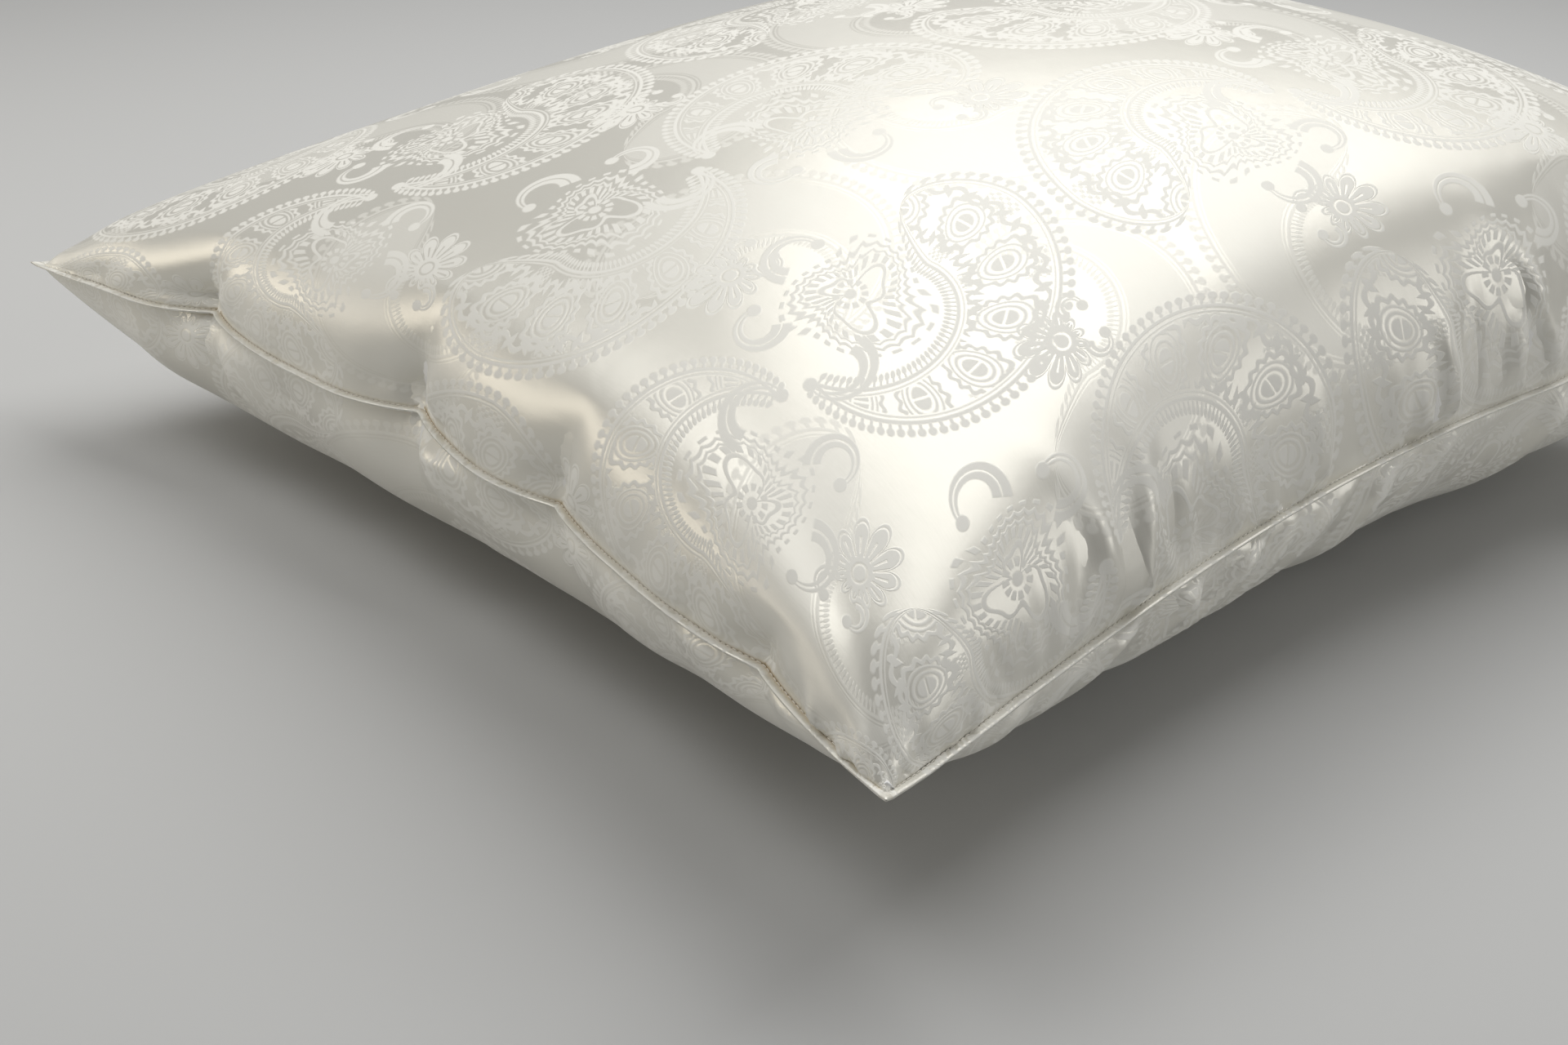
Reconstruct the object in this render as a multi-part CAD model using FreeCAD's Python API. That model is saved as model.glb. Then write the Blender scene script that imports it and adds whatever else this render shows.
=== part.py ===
"""A square bed pillow: a jacquard satin cover filled with down, lying flat.

Two square panels, a top and a bottom one, are sewn together on three sides, turned right side
out, and topstitched, so that their turned-in edges form a narrow flat flange outside the seam
line. The front side is closed last, by topstitching alone. Inside the cover is a downproof
ticking bag of its own, and the bag holds the down. A folded care label is sewn under the flange
at the back.

Units are millimetres. +Z is up, the pillow rests on z = 0, and the origin is the middle of its
underside. +X is the right side, -Y the front side, which is the side that was sewn shut last.
"""
import FreeCAD
import Part
import math
import os

from FreeCAD import Vector

# ---- driving dimensions -------------------------------------------------------------------
HALF_SIDE = 375.0        # half the distance between two filled corners, at the seam line
PULL_IN = 45.0           # how far the filling draws the middle of each side inwards
SEAM_Z = 100.0           # height of the seam above the resting face
CROWN = 150.0            # height of the top's middle above the seam
FLANGE = 5.0             # width of the flange outside the seam line
PANEL_T = 0.8            # a jacquard panel, two layers where it is turned in
TICKING_T = 0.6          # a ticking panel
TICKING_INSET = 6.0      # from the cover's seam line to the ticking's seam line
TICKING_FLANGE = 3.0
GAP = 0.3                # clear space between the cover and the ticking
REST_CUT = 0.4           # how much of the underside's curve the flat resting face takes off
THREAD_R = 0.25          # radius of a laid sewing thread
THREAD_IN_FLANGE = 1.0   # from the seam line to the topstitching
THREAD_END_GAP = 9.0     # the topstitching stops this far from a corner
JOIN_IN_EDGE = 0.9       # from the flange's outer edge to the seam that joins the two panels
JOIN_R = 0.2             # radius of that seam's thread
JOIN_CHANNEL_R = 0.22    # radius of the channel pressed round it

LABEL_WIDTH = 30.0
LABEL_REACH = 34.0       # how far the folded label stands out past the flange
LABEL_T = 0.3            # one layer of label satin
LABEL_X = -120.0         # where the label's middle is along the back side
LABEL_UNDER = 2.2        # how far the label reaches in under the flange

# ---- shape of the crown -------------------------------------------------------------------
SPREAD = 0.85            # below 1, so that the panels meet the seam at a finite angle
SHOULDER = 0.20          # fullness of the cushion's shoulders
STATIONS = 23            # points each way that a crowned surface passes through
FILL_RIM = 1.0           # half the height of the fill's blunt rim
SEW_TOLERANCE = 0.01


def arc_radius(half_side, pull_in):
    """Radius of a side's arc, which passes through both corners and bows in by pull_in."""
    return (half_side ** 2 + pull_in ** 2) / (2 * pull_in)


def bow(share, half_side, pull_in):
    """How far a side is drawn in at a share of the way from its middle to a corner."""
    radius = arc_radius(half_side, pull_in)
    middle = radius - pull_in
    return math.sqrt(radius ** 2 - (share * half_side) ** 2) - middle


def spread(p):
    """Place across the pillow, -1 to 1, of the station p, -1 to 1: denser near the seam."""
    return math.sin(SPREAD * p * math.pi / 2) / math.sin(SPREAD * math.pi / 2)


def plan(p, q, half_side, pull_in):
    """Plan position of the station (p, q)."""
    s, t = spread(p), spread(q)
    x = s * (half_side - bow(t, half_side, pull_in))
    y = t * (half_side - bow(s, half_side, pull_in))
    return x, y


def crown(p, q):
    """Share of the crown's height at the station (p, q): 1 in the middle, 0 at the seam."""
    s, t = spread(p), spread(q)
    full = (1 + SHOULDER * s * s) * (1 + SHOULDER * t * t)
    return math.cos(p * math.pi / 2) * math.cos(q * math.pi / 2) * full


def pressed(p, q):
    """The same share for the underside, which its own weight presses flat in the middle."""
    share = min(crown(p, q), 1.0)
    return 1 - (1 - share) ** 2


def stations():
    return [-1 + 2 * i / (STATIONS - 1) for i in range(STATIONS)]


def crowned_face(half_side, base_z, height, profile):
    """The curved face over a pillow-shaped plan, from base_z at its rim to base_z + height."""
    grid = []
    for p in stations():
        row = []
        for q in stations():
            x, y = plan(p, q, half_side, PULL_IN)
            row.append(Vector(x, y, base_z + height * profile(p, q)))
        grid.append(row)
    surface = Part.BSplineSurface()
    surface.interpolate(grid)
    return surface.toShape()


def outline(half_side, pull_in, z):
    """The four edges of a flat pillow-shaped outline at height z."""
    edges = []
    for side in range(4):
        turn = FreeCAD.Rotation(Vector(0, 0, 1), 90 * side)
        points = []
        for p in stations():
            y = bow(spread(p), half_side, pull_in) - half_side
            points.append(turn.multVec(Vector(spread(p) * half_side, y, z)))
        curve = Part.BSplineCurve()
        curve.interpolate(points)
        edges.append(curve.toShape())
    return edges


def side_order(edge):
    """Sorts four edges round the pillow: front, right, back, left."""
    middle = edge.valueAt((edge.FirstParameter + edge.LastParameter) / 2)
    return round(math.atan2(middle.x, -middle.y) / (math.pi / 2)) % 4


def rim(face):
    return sorted(face.Edges, key=side_order)


def band(edges_a, edges_b):
    """The four ruled faces between two outlines."""
    return [Part.makeRuledSurface(a, b) for a, b in zip(edges_a, edges_b)]


def miter(offset):
    """How much further out a corner lies, along X and along Y, than a flange this wide."""
    lean = math.asin(HALF_SIDE / arc_radius(HALF_SIDE, PULL_IN))
    half_corner = math.pi / 4 - lean
    return offset / math.sin(half_corner) / math.sqrt(2)


def closed_solid(faces):
    """One solid from faces that meet edge to edge."""
    sewn = Part.Compound(faces)
    sewn.sewShape(SEW_TOLERANCE)
    solid = Part.makeSolid(sewn.Shells[0])
    if solid.Volume < 0:
        solid.reverse()
    return solid


def hat(half_side, wall, flange, rim_z, height, profile):
    """A thin crowned panel with a flat flange round it. Positive heights make a top panel,
    negative ones a bottom panel, and rim_z is the face that the two share."""
    up = 1 if height > 0 else -1
    outer_z = rim_z + up * wall
    inner_half = half_side - wall
    corner = half_side + miter(flange)
    edge_pull = PULL_IN + miter(flange) - flange

    outer = crowned_face(half_side, outer_z, height, profile)
    inner = crowned_face(inner_half, rim_z, height, profile)
    edge_out = outline(corner, edge_pull, outer_z)
    edge_in = outline(corner, edge_pull, rim_z)
    faces = [outer, inner]
    faces += band(rim(outer), edge_out)
    faces += band(edge_out, edge_in)
    faces += band(edge_in, rim(inner))
    return closed_solid(faces)


def side_thread(side, offset, z, thread_radius):
    """A thread along one side, this far outside the cover's seam line, at height z."""
    seam_radius = arc_radius(HALF_SIDE, PULL_IN)
    radius = seam_radius - offset
    centre = Vector(0, -(HALF_SIDE - PULL_IN) - seam_radius, z)
    reach = math.degrees(math.asin((HALF_SIDE - THREAD_END_GAP) / radius))
    start = centre + Vector(0, radius, 0)
    section = Part.Face(Part.Wire(Part.makeCircle(thread_radius, start, Vector(1, 0, 0))))
    section.rotate(centre, Vector(0, 0, 1), -reach)
    thread = section.revolve(centre, Vector(0, 0, 1), 2 * reach)
    thread.rotate(Vector(0, 0, 0), Vector(0, 0, 1), 90 * side)
    return thread


def topstitching(side):
    """The needle thread on the flange's upper face and the bobbin thread on its lower face."""
    height = PANEL_T + THREAD_R
    return Part.makeCompound([
        side_thread(side, THREAD_IN_FLANGE, SEAM_Z + height, THREAD_R),
        side_thread(side, THREAD_IN_FLANGE, SEAM_Z - height, THREAD_R),
    ])


def joining_threads(radius):
    """The seam between the two panels on the right, back and left sides, inside the flange."""
    return [side_thread(side, FLANGE - JOIN_IN_EDGE, SEAM_Z, radius) for side in (1, 2, 3)]


def make_top_panel():
    panel = hat(HALF_SIDE, PANEL_T, FLANGE, SEAM_Z, CROWN, crown)
    return panel.cut(joining_threads(JOIN_CHANNEL_R))


def make_bottom_panel():
    """The bottom panel, with the flat face that the pillow rests on."""
    depth = SEAM_Z - PANEL_T + REST_CUT
    panel = hat(HALF_SIDE, PANEL_T, FLANGE, SEAM_Z, -depth, pressed)
    reach = 2 * HALF_SIDE
    below = Part.makeBox(2 * reach, 2 * reach, reach, Vector(-reach, -reach, -reach))
    return panel.cut([below] + joining_threads(JOIN_CHANNEL_R))


def make_joining_thread():
    return Part.makeCompound(joining_threads(JOIN_R))


def ticking_sizes():
    """Half side and the heights above and below the seam of the ticking bag's outer faces."""
    half_side = HALF_SIDE - TICKING_INSET
    up = CROWN - GAP - TICKING_T
    down = SEAM_Z - PANEL_T + REST_CUT - GAP - TICKING_T
    return half_side, up, down


def make_ticking(top):
    half_side, up, down = ticking_sizes()
    height, profile = (up, crown) if top else (-down, pressed)
    return hat(half_side, TICKING_T, TICKING_FLANGE, SEAM_Z, height, profile)


def make_ticking_thread():
    """The ticking bag's seam thread, on the upper face of its flange, one length per side."""
    z = SEAM_Z + TICKING_T + THREAD_R
    offset = THREAD_IN_FLANGE - TICKING_INSET
    return Part.makeCompound([side_thread(side, offset, z, THREAD_R) for side in range(4)])


def make_fill():
    """The down, which fills the ticking bag."""
    half_side, up, down = ticking_sizes()
    half_side -= TICKING_T + FILL_RIM
    upper = crowned_face(half_side, SEAM_Z + FILL_RIM, up - FILL_RIM, crown)
    lower = crowned_face(half_side, SEAM_Z - FILL_RIM, FILL_RIM - down, pressed)
    return closed_solid([upper, lower] + band(rim(upper), rim(lower)))


def make_care_label():
    """A satin ribbon folded in two, sewn under the back flange with its fold outwards."""
    seam_y = HALF_SIDE - bow(LABEL_X / HALF_SIDE, HALF_SIDE, PULL_IN)
    y_in = seam_y + FLANGE - LABEL_UNDER
    y_out = seam_y + FLANGE + LABEL_REACH
    top_z = SEAM_Z - PANEL_T
    radius = LABEL_T
    low_z = top_z - 2 * radius
    profile = Part.Wire([
        Part.LineSegment(Vector(0, y_in, low_z), Vector(0, y_in, top_z)).toShape(),
        Part.LineSegment(Vector(0, y_in, top_z), Vector(0, y_out - radius, top_z)).toShape(),
        Part.Arc(Vector(0, y_out - radius, top_z), Vector(0, y_out, top_z - radius),
                 Vector(0, y_out - radius, low_z)).toShape(),
        Part.LineSegment(Vector(0, y_out - radius, low_z), Vector(0, y_in, low_z)).toShape(),
    ])
    label = Part.Face(profile).extrude(Vector(LABEL_WIDTH, 0, 0))
    label.translate(Vector(LABEL_X - LABEL_WIDTH / 2, 0, 0))
    return label


def main():
    nodes = {
        "top_panel": make_top_panel(),
        "bottom_panel": make_bottom_panel(),
        "front_closing_stitching": topstitching(0),
        "right_topstitching": topstitching(1),
        "back_topstitching": topstitching(2),
        "left_topstitching": topstitching(3),
        "joining_seam_thread": make_joining_thread(),
        "ticking_top": make_ticking(True),
        "ticking_bottom": make_ticking(False),
        "ticking_seam_thread": make_ticking_thread(),
        "down_fill": make_fill(),
        "care_label": make_care_label(),
    }
    os.makedirs("parts", exist_ok=True)
    for name, shape in nodes.items():
        shape.exportStep(f"parts/{name}.step")
        solids = len(shape.Solids)
        print(f"{name}: valid {shape.isValid()}, solids {solids}, {shape.Volume / 1000:.1f} cm3")


main()
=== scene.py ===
"""Looks of the square down pillow: jacquard cover, stitching, ticking bag, down and label."""
import math

import bpy
import numpy as np
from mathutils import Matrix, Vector


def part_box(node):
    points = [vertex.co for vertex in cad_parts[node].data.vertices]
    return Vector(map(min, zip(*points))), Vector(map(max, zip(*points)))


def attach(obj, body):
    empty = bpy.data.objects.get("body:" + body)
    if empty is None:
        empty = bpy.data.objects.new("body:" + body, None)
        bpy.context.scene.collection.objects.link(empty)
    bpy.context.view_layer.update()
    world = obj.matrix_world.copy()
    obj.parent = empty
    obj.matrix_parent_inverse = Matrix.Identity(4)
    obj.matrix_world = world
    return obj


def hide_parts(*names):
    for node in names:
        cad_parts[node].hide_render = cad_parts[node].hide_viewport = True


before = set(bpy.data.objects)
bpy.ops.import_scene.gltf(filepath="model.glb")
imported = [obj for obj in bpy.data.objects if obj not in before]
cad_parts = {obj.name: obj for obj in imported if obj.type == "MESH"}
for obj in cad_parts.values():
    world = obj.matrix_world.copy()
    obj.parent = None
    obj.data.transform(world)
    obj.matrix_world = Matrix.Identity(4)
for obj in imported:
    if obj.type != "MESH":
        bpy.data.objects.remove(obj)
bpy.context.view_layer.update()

# ---- sizes, in metres, as in the CAD part -------------------------------------------------
panel_low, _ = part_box("top_panel")
CUT = 0.8                 # side of a panel as cut, from seam line to seam line
HALF = 0.375              # half the distance between two filled corners
SEAM_Z = panel_low[2]
FLANGE = 0.005
CLOTH = 0.0008            # thickness of the jacquard

# ---- mesh resolution ----------------------------------------------------------------------
SIM_CELLS = 80            # cells across a panel in the cloth simulation
FINE_CELLS = 280          # cells across a panel in the finished mesh, a multiple of LINING_STEP
LINING_STEP = 4           # the hidden lining has one cell for this many of the face's
CROWDING = 0.4            # how much denser the finished mesh is at the seams


# ---- helpers ------------------------------------------------------------------------------
def smooth_step(low, high, value):
    share = np.clip((value - low) / (high - low), 0, 1)
    return share * share * (3 - 2 * share)


def unit(vectors):
    return vectors / np.maximum(np.linalg.norm(vectors, axis=-1, keepdims=True), 1e-12)


def level(vectors):
    """The vectors without their height."""
    return vectors * [1, 1, 0]


def grid_normals(points):
    """Unit normals of a grid of points, shape (n, n, 3)."""
    along_u = np.gradient(points, axis=0)
    along_v = np.gradient(points, axis=1)
    return unit(np.cross(along_u, along_v))


def flat_stations(cells, crowding):
    """Places across a panel from -1 to 1, closer together near its edges."""
    even = np.linspace(-1, 1, cells + 1)
    return even + crowding * np.sin(math.pi * even) / math.pi


def corner_distance(flat_u, flat_v):
    """Distance on the flat cloth from the nearest corner, in metres."""
    return np.hypot(1 - np.abs(flat_u), 1 - np.abs(flat_v)) * CUT / 2


def cubic_reader(places, cells):
    """Matrix that reads a smooth curve through cells + 1 even samples at places from -1 to 1."""
    spot = (places + 1) / 2 * cells
    cell = np.clip(np.floor(spot).astype(int), 0, cells - 1)
    t = spot - cell
    weights = [
        -t / 2 + t ** 2 - t ** 3 / 2,
        1 - 2.5 * t ** 2 + 1.5 * t ** 3,
        t / 2 + 2 * t ** 2 - 1.5 * t ** 3,
        -t ** 2 / 2 + t ** 3 / 2,
    ]
    padded = np.zeros((len(places), cells + 3))
    rows = np.arange(len(places))
    for step, weight in enumerate(weights):
        padded[rows, cell + step] += weight
    matrix = padded[:, 1:-1].copy()
    matrix[:, 0] += 2 * padded[:, 0]
    matrix[:, 1] -= padded[:, 0]
    matrix[:, -1] += 2 * padded[:, -1]
    matrix[:, -2] -= padded[:, -1]
    return matrix


def grid_cells(index):
    """Four-sided faces of a grid of vertex numbers."""
    cells = [index[:-1, :-1], index[1:, :-1], index[1:, 1:], index[:-1, 1:]]
    return np.stack(cells, -1).reshape(-1, 4)


def new_piece(name, points, faces):
    """A smooth-shaded object of the given points and faces, in the scene."""
    mesh = bpy.data.meshes.new(name)
    mesh.from_pydata(points.tolist(), [], faces)
    mesh.update()
    mesh.polygons.foreach_set("use_smooth", [True] * len(mesh.polygons))
    piece = bpy.data.objects.new(name, mesh)
    bpy.context.scene.collection.objects.link(piece)
    return piece


# ---- the filled shape ---------------------------------------------------------------------
LOFT = 0.153              # height of the crown above the seam line
FULLNESS = 0.7            # power of the fall towards the seams; below 1 the shoulders are full
MORE_RIGHT = 0.14         # the down lies thicker towards the right and the back
MORE_BACK = 0.185
PULL_ACROSS = 0.054       # how far the middles of the left and right sides are drawn in
PULL_ALONG = 0.033        # the same for the front and the back
SEAM_LIFT = 0.010         # how much higher the middle of a side is than its corners
RIGHT_CLIMB = 0.016       # the right side dips near the front and rises towards the back
UNDER_CLEAR = 0.004       # how far the underside stays above the floor before it settles
UNDER_FULLNESS = 1.10     # above 1 the underside lies flat on the floor in its middle
UNDER_LEFT = 0.14         # how much fuller the underside is at the front left than at its right
EAR_LOW = 0.010           # distances from a corner where its flat ear fades out
EAR_HIGH = 0.130
EAR_HIGH_UNDER = 0.180
EAR_LOFT = 0.35           # share of the loft that is left in an ear


def plan_angle(flat):
    """Angle round the cushion's section for flat places from -1 to 1, spaced by arc length."""
    angle = np.linspace(-math.pi / 2, math.pi / 2, 4001)
    wide = (HALF - PULL_ACROSS) * np.sin(angle)
    tall = LOFT * np.maximum(np.cos(angle), 0) ** FULLNESS
    arc = np.concatenate([[0], np.cumsum(np.hypot(np.diff(wide), np.diff(tall)))])
    return np.interp(flat, 2 * arc / arc[-1] - 1, angle)


def pressed_flat(share):
    """Share of the way down to the floor, which stops softly where the cloth rests on it."""
    soft = 0.15
    full = np.minimum(UNDER_FULLNESS * share, 1 + soft)
    return full - np.maximum(full - 1 + soft, 0) ** 2 / (4 * soft)


def filled_panel(flat, top):
    """Grid of points of a filled panel for one row of flat places used both ways."""
    angle = plan_angle(flat)
    turn_u, turn_v = np.meshgrid(angle, angle, indexing="ij")
    flat_u, flat_v = np.meshgrid(flat, flat, indexing="ij")
    s, t = np.sin(turn_u), np.sin(turn_v)
    x = s * (HALF - PULL_ACROSS * (1 - t * t))
    y = t * (HALF - PULL_ALONG * (1 - s * s))
    share = np.maximum(np.cos(turn_u) * np.cos(turn_v), 0) ** FULLNESS
    corner = corner_distance(flat_u, flat_v)
    ear = smooth_step(EAR_LOW, EAR_HIGH if top else EAR_HIGH_UNDER, corner)
    share = share * (EAR_LOFT + (1 - EAR_LOFT) * ear)
    seam = SEAM_Z + SEAM_LIFT * (1 - s * s * t * t)
    seam = seam + RIGHT_CLIMB * np.maximum(s, 0) ** 2 * t * (1 - t ** 4)
    if top:
        z = seam + LOFT * share * (1 + MORE_RIGHT * s + MORE_BACK * t)
    else:
        lean = UNDER_LEFT * (1 - t) / 2
        down = share ** (1 + lean * (s - 0.3)) * (1 - lean * s)
        z = seam - (seam - UNDER_CLEAR) * pressed_flat(down)
    return np.stack([x, y, z], -1)


# ---- cloth simulation ---------------------------------------------------------------------
SIM_FRAMES = 30
SIM_CAP = 0.005           # the furthest a point may move from the filled shape
SIM_CAP_CORNER = 0.001    # the same at the ears, which the double cloth holds up
SIM_CAP_REACH = 0.30      # distance from a corner at which the full cap holds


def two_panels(top, bottom):
    """Points and faces of a closed surface of two grids that share their border."""
    count = top.shape[0]
    inside = np.zeros((count, count), bool)
    inside[1:-1, 1:-1] = True
    index_top = np.arange(count * count).reshape(count, count)
    index_bottom = index_top.copy()
    index_bottom[inside] = count * count + np.arange(inside.sum())
    points = np.vstack([top.reshape(-1, 3), bottom[inside]])
    upper = grid_cells(index_top)
    lower = grid_cells(index_bottom)[:, ::-1]
    return points, np.vstack([upper, lower]).tolist(), index_top, index_bottom


def settle(top, bottom, flat):
    """Lets the cover's cloth settle over its filling, and gives back both panels' points."""
    flat_u, flat_v = np.meshgrid(flat, flat, indexing="ij")
    sheet = np.stack([flat_u * CUT / 2, flat_v * CUT / 2, np.full_like(flat_u, SEAM_Z)], -1)
    flat_points, faces, index_top, index_bottom = two_panels(sheet, sheet)
    cover = new_piece("settling", flat_points, faces)
    cover.shape_key_add(name="Basis")
    filled = cover.shape_key_add(name="filled")
    filled.data.foreach_set("co", two_panels(top, bottom)[0].ravel())
    filled.value = 1.0

    bpy.ops.mesh.primitive_plane_add(size=3, location=(0, 0, 0))
    ground = bpy.context.object
    ground.modifiers.new("ground", "COLLISION")
    ground.collision.cloth_friction = 20
    ground.collision.thickness_outer = 0.003

    cloth = cover.modifiers.new("cloth", "CLOTH")
    body = cloth.settings
    body.rest_shape_key = cover.data.shape_keys.key_blocks["Basis"]
    body.quality = 6
    body.mass = 0.1
    body.air_damping = 3
    body.tension_stiffness = 80
    body.compression_stiffness = 80
    body.shear_stiffness = 15
    body.bending_stiffness = 0.1
    body.tension_damping = 25
    body.compression_damping = 25
    body.shear_damping = 15
    body.use_pressure = True
    body.use_pressure_volume = True
    body.target_volume = 0.080
    body.pressure_factor = 200
    body.effector_weights.gravity = 0.2
    cloth.collision_settings.distance_min = 0.002
    cloth.point_cache.frame_start = 1
    cloth.point_cache.frame_end = SIM_FRAMES
    scene = bpy.context.scene
    for step in range(1, SIM_FRAMES + 1):
        scene.frame_set(step)
    depsgraph = bpy.context.evaluated_depsgraph_get()
    result = cover.evaluated_get(depsgraph).to_mesh()
    moved = np.empty(len(result.vertices) * 3)
    result.vertices.foreach_get("co", moved)
    moved = moved.reshape(-1, 3)
    scene.frame_set(1)
    bpy.data.objects.remove(cover)
    bpy.data.objects.remove(ground)

    away = smooth_step(0.0, SIM_CAP_REACH, corner_distance(flat_u, flat_v))
    cap = SIM_CAP_CORNER + (SIM_CAP - SIM_CAP_CORNER) * away
    settled = []
    for panel, index in ((top, index_top), (bottom, index_bottom)):
        shift = moved[index] - panel
        length = np.linalg.norm(shift, axis=-1)
        settled.append(panel + shift * np.minimum(1, cap / np.maximum(length, 1e-9))[..., None])
    return settled


# ---- folds --------------------------------------------------------------------------------
def side_places(flat_u, flat_v, side):
    """Along a side from left to right as seen from outside, and away from it, in metres."""
    reach = CUT / 2
    if side == "front":
        return flat_u * reach, (1 + flat_v) * reach
    if side == "right":
        return flat_v * reach, (1 - flat_u) * reach
    if side == "back":
        return -flat_u * reach, (1 - flat_v) * reach
    return -flat_v * reach, (1 + flat_u) * reach


# side, place along it, depth, length of the crease, its lean on top
KINKS = (
    ("front", -0.193, 0.017, 0.080, 0.10),
    ("front", -0.019, 0.017, 0.090, 0.10),
    ("front", 0.094, 0.011, 0.075, 0.20),
    ("front", 0.245, 0.007, 0.050, 0.30),
    ("right", 0.172, 0.022, 0.110, -0.10),
    ("back", -0.150, 0.010, 0.070, 0.20),
    ("left", 0.120, 0.012, 0.080, 0.30),
)
KINK_BROAD = 0.060        # the gentle flank of a kink, towards the left
KINK_STEEP_SEAM = 0.016   # its steep flank, towards the right, in the seam line
KINK_STEEP = 0.006        # the same just above and below the seam, where a sharp ridge stands
KINK_SHARP_REACH = 0.015  # distance from the seam at which the ridge is at its sharpest
KINK_SLOW = 0.090         # how far the seam takes to swell out again after the steep flank
KINK_SPREAD = 0.1         # how much wider a kink is for each metre away from the seam
KINK_LEAN_UNDER = 0.35    # lean of the creases on the underside
KINK_HOLLOW = 0.9         # how much deeper the top panel's hollow is than the kink below it
RIDGE_PAST = 0.014        # how far past a kink the cloth stands up in a soft ridge
RIDGE_WIDTH = 0.010
RIDGE_SHARE = 0.25        # the ridge's height as a share of the kink's depth
KINK_RISE = 0.15          # how much of its depth a kink also rises at the seam
KINK_RISE_REACH = 0.06    # how far from the seam that rise has died out
SIDEWAYS_REACH = 0.03     # nearer the seam than this, folds push level instead of square to the cloth
OUTWARD_HINT = 0.02       # tells where outwards is where the cloth lies level
CORNER_CALM = (0.02, 0.09)           # distances from a corner over which the gathers set in
CORNER_CALM_UNDER = (0.06, 0.22)


def kink_flanks(offset, away):
    """Depth from 0 to 1 of a kink, by the distance past it and away from the seam."""
    sharp = smooth_step(0.0, KINK_SHARP_REACH, away)
    broad = KINK_BROAD + KINK_SPREAD * away
    steep = KINK_STEEP_SEAM + (KINK_STEEP - KINK_STEEP_SEAM) * sharp + KINK_SPREAD * away
    fast = 0.25 + 0.40 * sharp
    before = np.clip(1 + offset / broad, 0, 1) ** 2
    after = fast * np.exp(-np.maximum(offset, 0) / steep)
    after += (1 - fast) * np.clip(1 - offset / KINK_SLOW, 0, 1) ** 2
    return np.where(offset < 0, before, after)


def kink_dent(flat_u, flat_v, top):
    """Depth of the dents that run into the panel from the kinks in the seam."""
    dent = np.zeros_like(flat_u)
    for side, place, depth, reach, lean in KINKS:
        along, away = side_places(flat_u, flat_v, side)
        tilt = lean if top else KINK_LEAN_UNDER
        offset = along - place - tilt * away
        fade = np.clip(1 - away / reach, 0, 1) ** 1.3
        crest = offset - RIDGE_PAST - KINK_SPREAD * away
        ridge = np.exp(-(crest / RIDGE_WIDTH) ** 2) * smooth_step(0.006, 0.03, away)
        hollow = 1 + KINK_HOLLOW * smooth_step(0.0, 0.018, away) if top else 1
        dent += depth * fade * (kink_flanks(offset, away) * hollow - RIDGE_SHARE * ridge)
    return dent


# on the top panel or not, side, spacing, height, reach, lean, seed, spans of the side from -1 to 1
ALL_ALONG = ((-1, 1),)
GATHERS = (
    (True, "right", 0.019, 0.0030, 0.080, 0.00, 11, ALL_ALONG),
    (True, "right", 0.015, 0.0055, 0.125, 0.05, 12, ((-0.50, -0.32), (0.05, 0.52))),
    (True, "front", 0.036, 0.0018, 0.070, 0.10, 13, ALL_ALONG),
    (True, "front", 0.016, 0.0030, 0.060, -0.30, 17, ((0.72, 0.88),)),
    (True, "back", 0.022, 0.0026, 0.095, 0.00, 14, ALL_ALONG),
    (True, "left", 0.026, 0.0026, 0.090, 0.00, 15, ALL_ALONG),
    (False, "right", 0.036, 0.0055, 0.150, -0.55, 21, ALL_ALONG),
    (False, "right", 0.019, 0.0022, 0.070, -0.30, 25, ALL_ALONG),
    (False, "front", 0.055, 0.0045, 0.130, 0.35, 22, ALL_ALONG),
    (False, "back", 0.040, 0.0050, 0.130, 0.20, 23, ALL_ALONG),
    (False, "left", 0.040, 0.0050, 0.130, -0.20, 24, ALL_ALONG),
)


def puckers(flat_u, flat_v, side, spacing, height, reach, lean, seed, spans):
    """Gathers that run into the panel from a seam. Gives their height above it."""
    draw = np.random.default_rng(seed)
    along, away = side_places(flat_u, flat_v, side)
    out = np.zeros_like(flat_u)
    half = CUT / 2
    for low, high in spans:
        place = low * half + spacing * draw.uniform(0.2, 0.8)
        while place < high * half:
            width = spacing * draw.uniform(0.18, 0.34)
            long = reach * draw.uniform(0.4, 1.0)
            tilt = lean + draw.normal(0, 0.18)
            tall = height * draw.uniform(0.4, 1.0) * draw.choice([1.0, 1.0, -0.8])
            bend = draw.normal(0, 1.2)
            offset = along - place - tilt * away - bend * away ** 2
            spread = width * (1 + 1.2 * away / long)
            profile = smooth_step(0, 0.25, away / long) * np.clip(1 - away / long, 0, 1) ** 1.3
            out += 2.0 * tall * profile * np.exp(-(offset / spread) ** 2)
            place += spacing * draw.uniform(0.6, 1.5)
    return out


def all_puckers(flat_u, flat_v, top):
    return sum(puckers(flat_u, flat_v, *gather) for on_top, *gather in GATHERS if on_top == top)


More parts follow.
